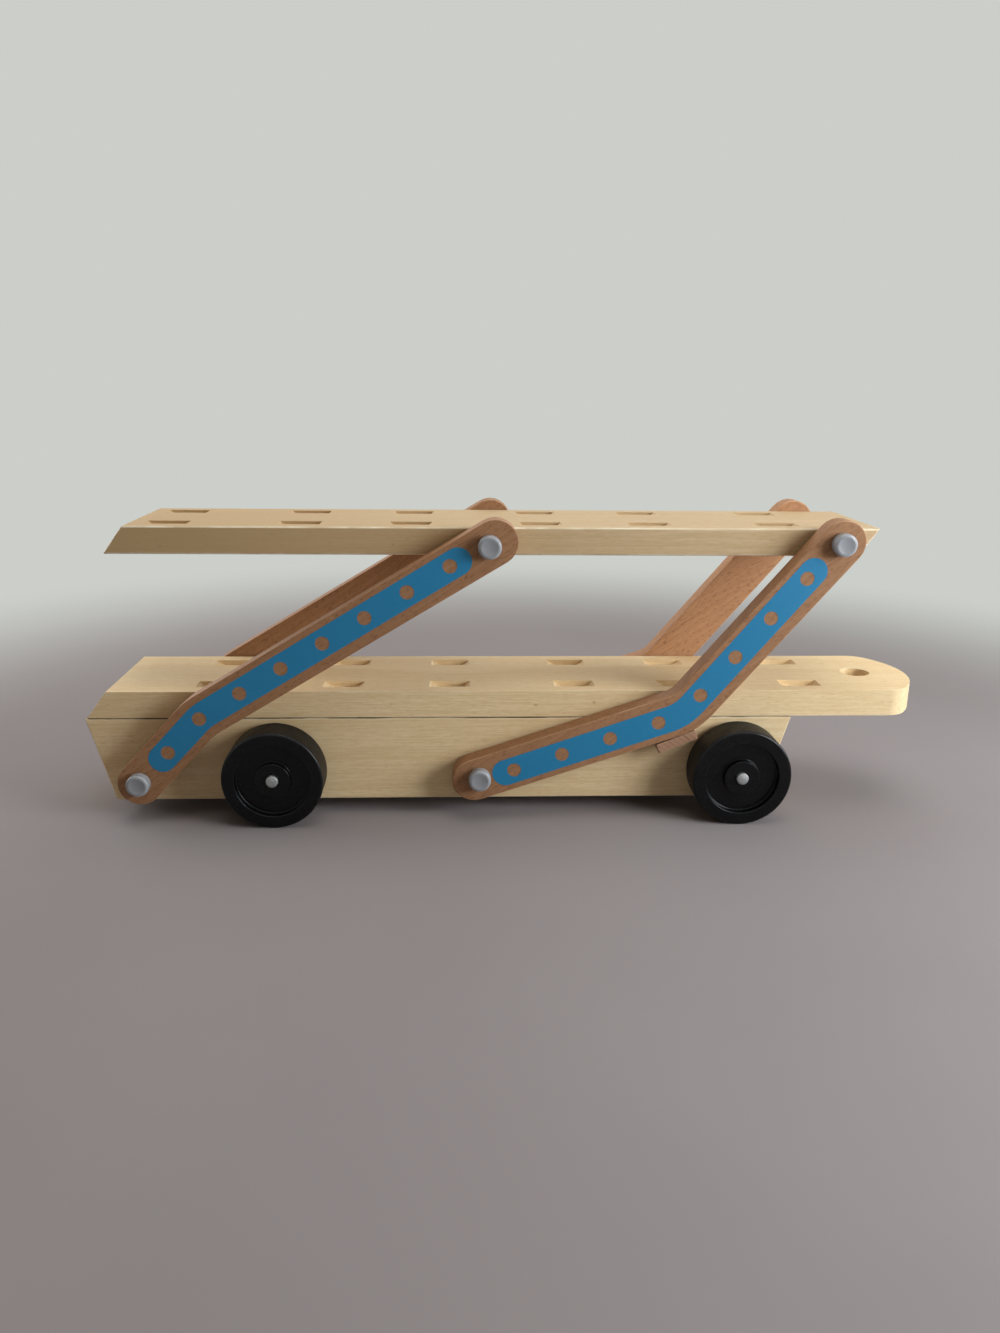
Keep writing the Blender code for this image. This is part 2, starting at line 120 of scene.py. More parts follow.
# Figure of the timber: scales are cycles per millimetre along and across the grain
LOG_BEND_SCALE = (0.007, 0.035)
LONG_FIBRE_SCALE = (0.03, 2.6)
SHORT_FIBRE_SCALE = (0.24, 1.5)
FLECK_SCALE = (0.30, 2.7)
FLECK_EDGE = (0.16, 0.34)
LATE_WOOD_START = 0.2
LATE_WOOD_END = 0.9
WEAKEST_YEAR = 0.35
SEED_STEPS = {"X": 171.3, "Y": 63.7, "Z": 41.9}
ACROSS_ONLY = (0.0, 1.0)

# Where the arms are cut from their log, in millimetres, and how far that moves with their seed
ARM_SEED = 11.0
ARM_CUT = (0.0, 24.0, 40.0)
ARM_CUT_STEP = (7.0, -1.0, 1.0)

# Wear: rubbed eased edges, which on the timber also hold a painted highlight; hand tone, knocks and scuffs
RUBBED_FACING = (0.1, 0.4)
RUBBED_PATCH_SCALE = (0.09, 0.2)
RUBBED_PATCH_SPAN = (0.36, 0.64)
LEAST_RUBBED = 0.4
TONE_SCALE = (0.012, 0.03)
KNOCK_SCALE = (0.11, 0.16)
KNOCK_EDGE = (0.04, 0.12)
KNOCK_SHARE = 0.3
RAGGED_SCALE = (0.9, 0.9)
RAGGED_REACH = (0.9, 0.9)
SCUFF_TURN = (0.5, 0.9, 0.7)
SCUFF_SCALE = (0.05, 1.6)
SCUFF_SPAN = (0.71, 0.78)

# Skin of the moulded plastic
SKIN_SCALE = 3.5
SKIN_SCUFF_TURN = (0.9, 0.3, 1.1)
SKIN_SCUFF_SCALE = (0.08, 2.2)
SKIN_SCUFF_SPAN = (0.66, 0.74)
DUST_SCALE = 0.16
DUST_SPAN = (0.45, 0.72)

# Timber finish: how strongly each mark shows, and the satin lacquer
NOISE_MIDDLE = (0.3, 0.7)
FIBRE_SPAN = (0.38, 0.62)
TONE_DEPTH = 0.22
KNOCK_DEPTH = 0.35
TIMBER_ROUGHNESS = (0.58, 0.70)
RUBBED_SMOOTHER = 0.26
TIMBER_SHEEN = 0.36
FIBRE_RELIEF = 0.5
FLECK_RELIEF = 0.35
TIMBER_RELIEF = 0.12 * MM
TIMBER_BUMP = 0.5
# Painted shade toward the upper deck's tail: along X in millimetres, full at the first and gone at the
# second
PAINTED_SHADE_SPAN = (-125.0, 55.0)

# Joint between the block and the lower deck: the painted shade on the block's edge next to it, and its glue
JOINT_HEIGHT = 37.5
JOINT_BREAK_SCALE = (0.05, 0.05, 0.3)
# The painted shade's colour, also the darkest glue
JOINT_SHADE_AND_DARK_GLUE = (0.07, 0.038, 0.018)
JOINT_SHADE_REACH = 0.4
JOINT_SHADE_FULL = 0.15
JOINT_SHADE_SPAN = (0.36, 0.62)
LEAST_JOINT_SHADE = 0.25
JOINT_EDGE_ROUGHER = 0.4
JOINT_GLUE = (0.22, 0.13, 0.065)
GLUE_SPAN = (0.4, 0.62)
GLUE_ROUGHNESS = (0.85, 0.7)
GLUE_INSET = 0.55 * MM
GLUE_SLACK = 0.02 * MM

# Blue ink on the arms
PRINT_BLUE = (0.007, 0.194, 0.395)
PRINT_BLUE_THIN = (0.018, 0.229, 0.431)
PRINT_BLUE_SCUFFED = (0.16, 0.36, 0.50)
PRINT_THIN_SPAN = (0.35, 0.7)
PRINT_THIN_BY_FIBRES = 0.6
PRINT_THIN_BY_TONE = 0.4
PRINT_SCUFF_DEPTH = 0.25
PRINT_ROUGHNESS = (0.40, 0.52)
PRINT_FIBRE_RELIEF = 0.4
PRINT_RELIEF = 0.05 * MM
PRINT_BUMP = 0.35

# Plastics and plated steel
GREY_PLASTIC = (0.287, 0.301, 0.322)
GREY_SCUFFED = (0.52, 0.535, 0.555)
GREY_DUSTY = (0.26, 0.26, 0.26)
BLACK_PLASTIC = (0.0021, 0.0023, 0.0029)
BLACK_SCUFFED = (0.016, 0.0165, 0.018)
BLACK_DUSTY = (0.007, 0.0069, 0.0068)
PLASTIC_SCUFF_DEPTH = 0.3
PLASTIC_RUB_DEPTH = 0.4
SKIN_SMOOTHER = 0.05
SKIN_ROUGHER = 0.07
DUST_ROUGHER = 0.12
SKIN_RELIEF = 0.03 * MM
TREAD_REACH = 0.4
TREAD_FULL = 0.05
TREAD_ROUGHER = 0.2
ZINC_BRIGHT = (0.38, 0.385, 0.385)
ZINC_DULL = (0.28, 0.28, 0.275)
ZINC_ROUGHNESS = (0.56, 0.72)
BLOW_SCALE = 1.8
BLOW_RELIEF = 0.25 * MM
BLOW_BUMP = 0.4

# Turned pieces in millimetres along their own axis, outwards; corners are (radius, height, rounding)
BORE_RADIUS = 2.5
WHEEL_RADIUS = 18.3
WHEEL_WIDTH = 12.2
HUB_FACE = 11.7
HUB_BACK = -1.2
DISH_FLOOR = 9.5
BACK_FLOOR = 4.0
WHEEL_CORNERS = (
    (BORE_RADIUS, HUB_FACE, 0.25),
    (6.45, HUB_FACE, 0.25),
    (6.65, DISH_FLOOR, 0.3),
    (13.5, DISH_FLOOR, 0.4),
    (13.6, WHEEL_WIDTH, 0.3),
    (WHEEL_RADIUS, WHEEL_WIDTH, 0.9),
    (WHEEL_RADIUS, 0.0, 0.5),
    (13.9, 0.0, 0.4),
    (13.6, BACK_FLOOR, 0.6),
    (6.8, BACK_FLOOR, 0.5),
    (6.3, HUB_BACK, 0.3),
    (BORE_RADIUS, HUB_BACK, 0.0),
)
WHEEL_INNER_Y = 25.9 * MM
PIN_HEAD_RADIUS = 4.1
PIN_SHANK_RADIUS = 2.5
PIN_TIP_RADIUS = 1.8
PIN_TIP = -20.6
PIN_CORNERS = (
    (0.0, 3.58, 0.0),
    (1.2, 3.62, 0.0),
    (2.2, 3.74, 0.0),
    (3.0, 3.9, 0.35),
    (PIN_HEAD_RADIUS, 3.65, 0.9),
    (PIN_HEAD_RADIUS, 0.0, 0.35),
    (PIN_SHANK_RADIUS, 0.0, 0.0),
    (PIN_SHANK_RADIUS, -19.9, 0.0),
    (PIN_TIP_RADIUS, PIN_TIP, 0.0),
    (0.0, PIN_TIP, 0.0),
)
PIN_SEAT_Y = 32.6 * MM
AXLE_RADIUS = 2.2
AXLE_HALF = 38.9
AXLE_END = ((0.0, AXLE_HALF, 0.0), (0.9, AXLE_HALF - 0.05, 0.0), (AXLE_RADIUS, AXLE_HALF - 0.3, 0.5))
AXLE_FAR_END = tuple((radius, -height, rounding) for radius, height, rounding in reversed(AXLE_END))
AXLE_CORNERS = AXLE_END + AXLE_FAR_END
WHEEL_STEPS = 128
AXLE_STEPS = 48
PIN_STEPS = 64
ROUNDING_STEPS = 5

# Printed stripes on the arms' outer faces; their corners are in millimetres from the lower pivot
ARM_FACE_Y = 32.3 * MM
LOWER_PIVOTS = {"rear": (-136.5 * MM, 15.8 * MM), "front": (-12.9 * MM, 17.0 * MM)}
ARM_SLOPE = math.atan2(87.0, 126.7)
STRIPE_ENDS = {
    "rear": ((8.8, 9.2), (23.75, 25.25), (115.65, 81.65)),
    "front": ((9.65, 1.9), (74.0, 24.05), (117.4, 77.15)),
}
STRIPE_HALF_WIDTH = 5.0 * MM
STRIPE_BEND = 18 * MM
STRIPE_THICKNESS = 0.06 * MM
STRIPE_LIFT = 0.01 * MM
STRIPE_CAP_STEPS = 20
STRIPE_BEND_STEPS = 12
DOT_COUNT = 8
DOT_RADIUS = 2.55 * MM
DOT_INSET = 3.2 * MM
DOT_POINTS = 40

# Meshes: how close points are joined, which CAD edges stay crisp, and how far large faces rule the shading
WELD = 0.001 * MM
CRISP_ANGLE = math.radians(37)
LARGE_FACE_WEIGHT = 100


# Mesh helpers


def add_object(name, data):
    made = bpy.data.objects.new(name, data)
    bpy.context.scene.collection.objects.link(made)
    return made


def finished_mesh(name, shape):
    mesh = bpy.data.meshes.new(name)
    shape.to_mesh(mesh)
    shape.free()
    return mesh


def even_shading(piece):
    """Let a piece's large faces stay flat in the shading, with its rounded edges soft between them."""
    piece.data.shade_smooth()
    even = piece.modifiers.new("even shading", "WEIGHTED_NORMAL")
    even.weight = LARGE_FACE_WEIGHT


def rounded_profile(corners):
    """A turning profile from (radius, height, rounding) corners; a rounding turns a corner into an arc."""
    points = []
    for i, (radius, height, rounding) in enumerate(corners):
        corner = Vector((radius, height))
        if not rounding:
            points.append(corner)
            continue
        before = Vector(corners[i - 1][:2]) - corner
        after = Vector(corners[(i + 1) % len(corners)][:2]) - corner
        before.normalize()
        after.normalize()
        half = before.angle(after) / 2
        reach = rounding / math.tan(half)
        centre = corner + (before + after).normalized() * (rounding / math.sin(half))
        start = corner + before * reach - centre
        sweep = start.angle_signed(corner + after * reach - centre)
        for step in range(ROUNDING_STEPS + 1):
            turned = start.copy()
            turned.rotate(Matrix.Rotation(-sweep * step / ROUNDING_STEPS, 2))
            points.append(centre + turned)
    return points


def turned_piece(name, corners, steps, turn, place):
    """Turn a profile about its own Z axis, stand it along the axle line and place it."""
    shape = bmesh.new()
    ring = [shape.verts.new((point.x * MM, 0.0, point.y * MM)) for point in rounded_profile(corners)]
    pairs = list(zip(ring, ring[1:]))
    if corners[0][0] > 0:
        pairs.append((ring[-1], ring[0]))
    lines = [shape.edges.new(pair) for pair in pairs]
    bmesh.ops.spin(
        shape, geom=ring + lines, cent=(0, 0, 0), axis=(0, 0, 1), angle=math.tau, steps=steps, use_merge=True
    )
    bmesh.ops.remove_doubles(shape, verts=shape.verts, dist=WELD)
    bmesh.ops.recalc_face_normals(shape, faces=shape.faces)
    piece = add_object(name, finished_mesh(name, shape))
    piece.rotation_euler = (turn, 0, 0)
    piece.location = place
    even_shading(piece)
    return piece


def smooth_cad_edges(node):
    """Soften the shading of a CAD node's eased edges, and keep its cut edges crisp."""
    weld = node.modifiers.new("joined faces", "WELD")
    weld.merge_threshold = WELD
    crisp = node.modifiers.new("crisp cuts", "EDGE_SPLIT")
    crisp.split_angle = CRISP_ANGLE
    crisp.use_edge_sharp = False
    even_shading(node)


# Node helpers


def add_node(tree, kind, inputs=None, **settings):
    """Add a shader node; inputs gives a socket, by name or number, a value or another node's socket."""
    node = tree.nodes.new("ShaderNode" + kind)
    for name, value in settings.items():
        setattr(node, name, value)
    for name, source in (inputs or {}).items():
        if isinstance(source, bpy.types.NodeSocket):
            tree.links.new(source, node.inputs[name])
        else:
            node.inputs[name].default_value = source
    return node


def maths(tree, operation, first, second=0.0, third=0.0):
    return add_node(tree, "Math", {0: first, 1: second, 2: third}, operation=operation).outputs[0]


def plus(tree, first, second):
    return maths(tree, "ADD", first, second)


def minus(tree, first, second):
    return maths(tree, "SUBTRACT", first, second)


def times(tree, first, second):
    return maths(tree, "MULTIPLY", first, second)


def scaled(tree, place, scale):
    return add_node(tree, "VectorMath", {0: place, 1: scale}, operation="MULTIPLY").outputs[0]


def moved(tree, place, shift):
    return add_node(tree, "VectorMath", {0: place, 1: shift}, operation="ADD").outputs[0]


def length(tree, place):
    return add_node(tree, "VectorMath", {0: place}, operation="LENGTH").outputs["Value"]


def drawn_out(tree, place, scale):
    """A place scaled by one number along the grain and by another across it."""
    along, across = scale
    return scaled(tree, place, (along, across, across))


def centred(tree, colour):
    """A noise's colour as a shift that goes as far back as forward."""
    return moved(tree, colour, (-0.5, -0.5, -0.5))


def noise(tree, place, scale=1.0, detail=2.0, roughness=0.5):
    inputs = {"Vector": place, "Scale": scale, "Detail": detail, "Roughness": roughness}
    return add_node(tree, "TexNoise", inputs).outputs


def spread(tree, value, low, high, to_low=0.0, to_high=1.0):
    """Map a value from one span to another with soft ends."""
    inputs = {"Value": value, "From Min": low, "From Max": high, "To Min": to_low, "To Max": to_high}
    return add_node(tree, "MapRange", inputs, interpolation_type="SMOOTHSTEP").outputs[0]


def tinted(tree, amount, first, second):
    """Mix two colours by an amount that varies over the surface."""
    mix = add_node(tree, "Mix", {0: amount}, data_type="RGBA")
    for number, colour in ((6, first), (7, second)):
        if isinstance(colour, bpy.types.NodeSocket):
            tree.links.new(colour, mix.inputs[number])
        else:
            mix.inputs[number].default_value = (*colour, 1.0)
    return mix.outputs[2]


def new_group(name, inputs, outputs):
    group = bpy.data.node_groups.new(name, "ShaderNodeTree")
    for socket, kind, value in inputs:
        made = group.interface.new_socket(socket, in_out="INPUT", socket_type="NodeSocket" + kind)
        made.default_value = value
    for socket, kind in outputs:
        group.interface.new_socket(socket, in_out="OUTPUT", socket_type="NodeSocket" + kind)
    start = group.nodes.new("NodeGroupInput")
    end = group.nodes.new("NodeGroupOutput")
    return group, start.outputs, end.inputs


def use_group(tree, group, **inputs):
    """Place a group in a material; an input's name has underscores for its spaces."""
    node = tree.nodes.new("ShaderNodeGroup")
    node.node_tree = group
    for name, source in inputs.items():
        socket = node.inputs[name.replace("_", " ")]
        if isinstance(source, bpy.types.NodeSocket):
            tree.links.new(source, socket)
        else:
            socket.default_value = source
    return node.outputs


def seeded(tree, place, seed):
    """Shift a place by its seed, so that each seed shows a figure of its own."""
    steps = {axis: times(tree, seed, step) for axis, step in SEED_STEPS.items()}
    return moved(tree, place, add_node(tree, "CombineXYZ", steps).outputs[0])


# Shared effects, whose places are in millimetres with the grain along X


def ring_figure(tree, place, own, spacing, wander):
    """Late wood of each year's ring, stronger in some years, around a log whose middle wanders."""
    bend = noise(tree, drawn_out(tree, own, LOG_BEND_SCALE))["Color"]
    sway = drawn_out(tree, centred(tree, bend), ACROSS_ONLY)
    drift = add_node(tree, "VectorMath", {0: sway, "Scale": wander}, operation="SCALE").outputs[0]
    from_middle = drawn_out(tree, moved(tree, place, drift), ACROSS_ONLY)
    count = maths(tree, "DIVIDE", length(tree, from_middle), spacing)
    growth = maths(tree, "FRACT", count)
    rise = spread(tree, growth, LATE_WOOD_START, LATE_WOOD_END)
    fall = spread(tree, growth, LATE_WOOD_END, 1.0, 1.0, 0.0)
    year = maths(tree, "FLOOR", count)
    strength = add_node(tree, "TexWhiteNoise", {"W": year}, noise_dimensions="1D").outputs["Value"]
    return times(tree, times(tree, rise, fall), spread(tree, strength, 0.0, 1.0, WEAKEST_YEAR, 1.0))


def fibre_figure(tree, own):
    """Long and short fibres in equal parts."""
    long_fibres = noise(tree, drawn_out(tree, own, LONG_FIBRE_SCALE), detail=3.0, roughness=0.62)["Fac"]
    short_fibres = noise(tree, drawn_out(tree, own, SHORT_FIBRE_SCALE), detail=4.0, roughness=0.7)["Fac"]
    return add_node(tree, "Mix", {0: 0.5, 2: long_fibres, 3: short_fibres}, data_type="FLOAT").outputs[0]


def fleck_figure(tree, own, share):
    """Short dark dashes of the pores, in a share of the cells that could hold one."""
    cells = add_node(tree, "TexVoronoi", {"Vector": drawn_out(tree, own, FLECK_SCALE), "Scale": 1.0}).outputs
    lottery = add_node(tree, "SeparateColor", {0: cells["Color"]}).outputs[0]
    chosen = maths(tree, "LESS_THAN", lottery, share)
    return times(tree, spread(tree, cells["Distance"], *FLECK_EDGE, 1.0, 0.0), chosen)


def timber_figure_group():
    """Growth rings, fibres and pore flecks of a piece cut from a log that lies along X."""
    tree, given, result = new_group(
        "timber figure",
        [("Place", "Vector", (0, 0, 0)), ("Ring Spacing", "Float", 2.5), ("Wander", "Float", 4.0),
         ("Fleck Share", "Float", 0.3), ("Seed", "Float", 0.0)],
        [("Rings", "Float"), ("Fibres", "Float"), ("Flecks", "Float")],
    )
    own = seeded(tree, given["Place"], given["Seed"])
    rings = ring_figure(tree, given["Place"], own, given["Ring Spacing"], given["Wander"])
    tree.links.new(rings, result["Rings"])
    tree.links.new(fibre_figure(tree, own), result["Fibres"])
    tree.links.new(fleck_figure(tree, own, given["Fleck Share"]), result["Flecks"])
    return tree


def edge_wear_and_highlight_group():
    """Where the eased edges, which face partly one way and partly the other, have been rubbed,
    and where the timber's eased edges get a painted highlight.
    """
    tree, given, result = new_group(
        "edge wear and painted highlight",
        [("Place", "Vector", (0, 0, 0)), ("One Way", "Float", 0.0), ("Other Way", "Float", 0.0),
         ("Seed", "Float", 0.0)],
        [("Wear And Highlight", "Float")],
    )
    between = maths(tree, "ABSOLUTE", times(tree, given["One Way"], given["Other Way"]))
    corner = spread(tree, between, *RUBBED_FACING)
    own = seeded(tree, given["Place"], given["Seed"])
    patches = noise(tree, drawn_out(tree, own, RUBBED_PATCH_SCALE), detail=4.0)["Fac"]
    kept = spread(tree, patches, *RUBBED_PATCH_SPAN, LEAST_RUBBED, 1.0)
    tree.links.new(times(tree, corner, kept), result["Wear And Highlight"])
    return tree


def knock_marks(tree, own):
    """Small dents with ragged edges, in a share of the cells that could hold one."""
    ragged = noise(tree, drawn_out(tree, own, RAGGED_SCALE))["Color"]
    rough_edge = drawn_out(tree, centred(tree, ragged), RAGGED_REACH)
    place = drawn_out(tree, moved(tree, own, rough_edge), KNOCK_SCALE)
    pits = add_node(tree, "TexVoronoi", {"Vector": place, "Scale": 1.0}).outputs
    lottery = add_node(tree, "SeparateColor", {0: pits["Color"]}).outputs[1]
    chosen = maths(tree, "LESS_THAN", lottery, KNOCK_SHARE)
    return times(tree, spread(tree, pits["Distance"], *KNOCK_EDGE, 1.0, 0.0), chosen)


def scuff_marks(tree, own, turn, scale, span, detail):
    """Hair-fine scuffs that all run one way."""
    turned = add_node(tree, "Mapping", {"Vector": own, "Rotation": turn}).outputs[0]
    hairs = noise(tree, drawn_out(tree, turned, scale), detail=detail)["Fac"]
    return spread(tree, hairs, *span)


def handling_group():
    """Broad hand tone, small knocks and short scuffs."""
    tree, given, result = new_group(
        "handling",
        [("Place", "Vector", (0, 0, 0)), ("Seed", "Float", 0.0)],
        [("Tone", "Float"), ("Knocks", "Float"), ("Scuffs", "Float")],
    )
    own = seeded(tree, given["Place"], given["Seed"])
    tone = noise(tree, drawn_out(tree, own, TONE_SCALE), detail=3.0, roughness=0.55)["Fac"]
    scuffs = scuff_marks(tree, own, SCUFF_TURN, SCUFF_SCALE, SCUFF_SPAN, detail=1.0)
    tree.links.new(tone, result["Tone"])
    tree.links.new(knock_marks(tree, own), result["Knocks"])
    tree.links.new(scuffs, result["Scuffs"])
    return tree


def moulded_skin_group():
    """Fine skin of a moulding tool, with light scuffs and a little dust."""
    tree, given, result = new_group(
        "moulded skin",
        [("Place", "Vector", (0, 0, 0)), ("Seed", "Float", 0.0)],
        [("Skin", "Float"), ("Scuffs", "Float"), ("Dust", "Float")],
    )
    own = seeded(tree, given["Place"], given["Seed"])
    skin = noise(tree, own, scale=SKIN_SCALE, detail=3.0, roughness=0.6)["Fac"]
    scuffs = scuff_marks(tree, own, SKIN_SCUFF_TURN, SKIN_SCUFF_SCALE, SKIN_SCUFF_SPAN, detail=2.0)
    patches = noise(tree, own, scale=DUST_SCALE, detail=4.0, roughness=0.65)["Fac"]
    tree.links.new(skin, result["Skin"])
    tree.links.new(scuffs, result["Scuffs"])
    tree.links.new(spread(tree, patches, *DUST_SPAN), result["Dust"])
    return tree


def joint_breaks_group():
    """How the painted shade and the glue of the joint under the lower deck come and go along its length."""
    tree, given, result = new_group("joint breaks", [("Place", "Vector", (0, 0, 0))], [("Breaks", "Float")])
    breaks = noise(tree, scaled(tree, given["Place"], JOINT_BREAK_SCALE), detail=3.0)["Fac"]
    tree.links.new(breaks, result["Breaks"])
    return tree


timber_figure = timber_figure_group()
edge_wear_and_highlight = edge_wear_and_highlight_group()
handling = handling_group()
moulded_skin = moulded_skin_group()
joint_breaks = joint_breaks_group()


# Finishes


def new_finish(name):
    material = bpy.data.materials.new(name)
    material.use_nodes = True
    tree = material.node_tree
    return material, tree, tree.nodes["Principled BSDF"]


def place_in_mm(tree, rotation=(0, 0, 0), shift=(0, 0, 0)):
    """The piece's own coordinates in millimetres, turned so that the grain runs along X."""
    spot = add_node(tree, "TexCoord").outputs["Object"]
    to_mm = (1 / MM, 1 / MM, 1 / MM)
    inputs = {"Vector": spot, "Rotation": rotation, "Location": shift, "Scale": to_mm}
    return add_node(tree, "Mapping", inputs).outputs[0]


def axis_parts(tree, vector):
    """A vector's parts along X, Y and Z."""
    return add_node(tree, "SeparateXYZ", {0: vector}).outputs


def surface_facing(tree):
    """Which way the surface faces, along the piece's own axes."""
    return axis_parts(tree, add_node(tree, "TexCoord").outputs["Normal"])


def set_bump(tree, shader, height, distance, strength):
    bump = add_node(tree, "Bump", {"Height": height, "Distance": distance, "Strength": strength})
    tree.links.new(bump.outputs[0], shader.inputs["Normal"])


def joint_shade_mask(tree):
    """Painted shade on the block's edge next to the joint, where the deck's lip shades it, broken along its
    length.
    """
    place = place_in_mm(tree)
    height = axis_parts(tree, place)["Z"]
    near_joint = spread(tree, height, JOINT_HEIGHT - JOINT_SHADE_REACH, JOINT_HEIGHT - JOINT_SHADE_FULL)
    breaks = use_group(tree, joint_breaks, Place=place)["Breaks"]
    return times(tree, near_joint, spread(tree, breaks, *JOINT_SHADE_SPAN, 1.0, LEAST_JOINT_SHADE))


# rubbed: the share of the eased edges' lightening, partly wear and partly a painted highlight
def timber_finish(name, colours, seed, shift, rotation, ring_spacing, wander, ring_depth, fibre_depth,
                  fleck_share, fleck_depth, painted_shade_tail=0.0, rubbed=0.95, shaded_joint=False):
    """Sanded timber under thin satin lacquer, with hand tone and knocks; its eased edges are lightened,
    partly as rubbed wear and partly as a painted highlight, and where asked it takes a painted shade
    toward its tail and on the block's edge at the joint.
    """
    material, tree, shader = new_finish(name)
    place = place_in_mm(tree, rotation, shift)
    figure = use_group(tree, timber_figure, Place=place, Ring_Spacing=ring_spacing, Wander=wander,
                       Fleck_Share=fleck_share, Seed=seed)
    facing = surface_facing(tree)
    edges = use_group(tree, edge_wear_and_highlight, Place=place, One_Way=facing["Y"], Other_Way=facing["Z"], Seed=seed)
    marks = use_group(tree, handling, Place=place, Seed=seed)
    tone = times(tree, spread(tree, marks["Tone"], *NOISE_MIDDLE), TONE_DEPTH)
    # Painted shade: more late wood mixed in toward the tail end
    if painted_shade_tail:
        tone = plus(tree, tone, spread(tree, axis_parts(tree, place)["X"], *PAINTED_SHADE_SPAN, painted_shade_tail, 0.0))
    late = colours["late wood"]
    fibre = spread(tree, figure["Fibres"], *FIBRE_SPAN)
    ringed = tinted(tree, times(tree, figure["Rings"], ring_depth), colours["early wood"], late)
    streaked = tinted(tree, times(tree, fibre, fibre_depth), ringed, late)
    warmed = tinted(tree, tone, streaked, late)
    flecked = tinted(tree, times(tree, figure["Flecks"], fleck_depth), warmed, colours["flecks"])
    knocked = tinted(tree, times(tree, marks["Knocks"], KNOCK_DEPTH), flecked, colours["flecks"])
    # Painted highlight: the eased edges lightened toward the corner colour, partly as wear and partly as the
    # light they catch
    surface_colour = tinted(tree, times(tree, edges["Wear And Highlight"], rubbed), knocked, colours["corner wear and painted highlight"])
    lacquer = spread(tree, figure["Fibres"], *NOISE_MIDDLE, *TIMBER_ROUGHNESS)
    rough = minus(tree, lacquer, times(tree, edges["Wear And Highlight"], RUBBED_SMOOTHER))
    # Painted shade: the block's edge next to the joint is darkened, and made rougher
    if shaded_joint:
        joint_shade = joint_shade_mask(tree)
        surface_colour = tinted(tree, joint_shade, surface_colour, JOINT_SHADE_AND_DARK_GLUE)
        rough = plus(tree, rough, times(tree, joint_shade, JOINT_EDGE_ROUGHER))
    tree.links.new(surface_colour, shader.inputs["Base Color"])
    tree.links.new(rough, shader.inputs["Roughness"])
    shader.inputs["Specular IOR Level"].default_value = TIMBER_SHEEN
    hollows = plus(tree, times(tree, figure["Flecks"], FLECK_RELIEF), marks["Knocks"])
    relief = minus(tree, times(tree, figure["Fibres"], FIBRE_RELIEF), hollows)
    set_bump(tree, shader, relief, TIMBER_RELIEF, TIMBER_BUMP)
    return material


def lower_deck_finish():
    return timber_finish(
        "pale timber, lower deck", PALE_COLOURS, seed=1.0, shift=(0, 17, 55), rotation=(0, 0, 0.012),
        ring_spacing=3.4, wander=7.0, ring_depth=0.42, fibre_depth=0.7, fleck_share=0.10, fleck_depth=0.35,
    )


def upper_deck_finish():
    # Painted shade: the upper deck's darkened colours and its darker tail
    return timber_finish(
        "pale timber, upper deck", UPPER_DECK_PAINTED_SHADE_COLOURS, seed=2.0, shift=(0, -9, -170), rotation=(0, 0, -0.01),
        ring_spacing=3.0, wander=8.0, ring_depth=0.42, fibre_depth=0.7, fleck_share=0.12, fleck_depth=0.35,
        painted_shade_tail=0.8,
    )


def block_finish():
    return timber_finish(
        "pale timber, block", PALE_COLOURS, seed=3.0, shift=(0, 38, -30), rotation=(0, 0.015, 0),
        ring_spacing=4.2, wander=7.0, ring_depth=0.38, fibre_depth=0.68, fleck_share=0.08, fleck_depth=0.3,
        rubbed=0.5, shaded_joint=True,
    )


def arm_finish(end, side):
    """Beech with its grain along the slope of the raised arms."""
    seed = ARM_SEED + 2 * ENDS.index(end) + SIDES[side]
    cut = tuple(start + step * seed for start, step in zip(ARM_CUT, ARM_CUT_STEP))
    # Painted light: the listed arms get the lightened beech
    colours = BEECH_COLOURS_WITH_PAINTED_LIGHT if (end, side) in ARMS_WITH_PAINTED_LIGHT else BEECH_COLOURS
    return timber_finish(
        f"beech, {end} {side} arm", colours, seed=seed, shift=cut, rotation=(0, ARM_SLOPE, 0),
        ring_spacing=2.8, wander=6.0, ring_depth=0.55, fibre_depth=0.5, fleck_share=0.75, fleck_depth=0.7,
    )


def stop_finish():
    """Beech that shows its end grain on the outer face."""
    return timber_finish(
        "beech end grain", END_GRAIN_COLOURS, seed=20.0, shift=(0, -36, 2), rotation=(0, 0, QUARTER),
        ring_spacing=1.7, wander=0.8, ring_depth=1.0, fibre_depth=0.25, fleck_share=0.3, fleck_depth=0.4,
    )


def blue_print_finish():
    """Satin ink over the arm's wood: the pores show through as faint lines."""
    material, tree, shader = new_finish("blue print")
    place = place_in_mm(tree, rotation=(0, ARM_SLOPE, 0), shift=(11.0, 20.0, -30.0))
    figure = use_group(tree, timber_figure, Place=place, Ring_Spacing=3.0, Wander=5.0, Fleck_Share=0.35,
                       Seed=5.0)
    marks = use_group(tree, handling, Place=place, Seed=8.0)
    thin_on_fibres = times(tree, spread(tree, figure["Fibres"], *PRINT_THIN_SPAN), PRINT_THIN_BY_FIBRES)
    thin_by_hands = times(tree, marks["Tone"], PRINT_THIN_BY_TONE)
    inked = tinted(tree, plus(tree, thin_on_fibres, thin_by_hands), PRINT_BLUE, PRINT_BLUE_THIN)
    scuffed = tinted(tree, times(tree, marks["Scuffs"], PRINT_SCUFF_DEPTH), inked, PRINT_BLUE_SCUFFED)
    rough = spread(tree, figure["Fibres"], *NOISE_MIDDLE, *PRINT_ROUGHNESS)
    tree.links.new(scuffed, shader.inputs["Base Color"])
    tree.links.new(rough, shader.inputs["Roughness"])
    relief = minus(tree, times(tree, figure["Fibres"], PRINT_FIBRE_RELIEF), figure["Flecks"])
    set_bump(tree, shader, relief, PRINT_RELIEF, PRINT_BUMP)
    return material


def tread_dulling(tree, place):
    """Extra roughness of a wheel's tread, dulled by rolling."""
    radius = length(tree, scaled(tree, place, (1.0, 1.0, 0.0)))
    return spread(tree, radius, WHEEL_RADIUS - TREAD_REACH, WHEEL_RADIUS - TREAD_FULL, 0.0, TREAD_ROUGHER)


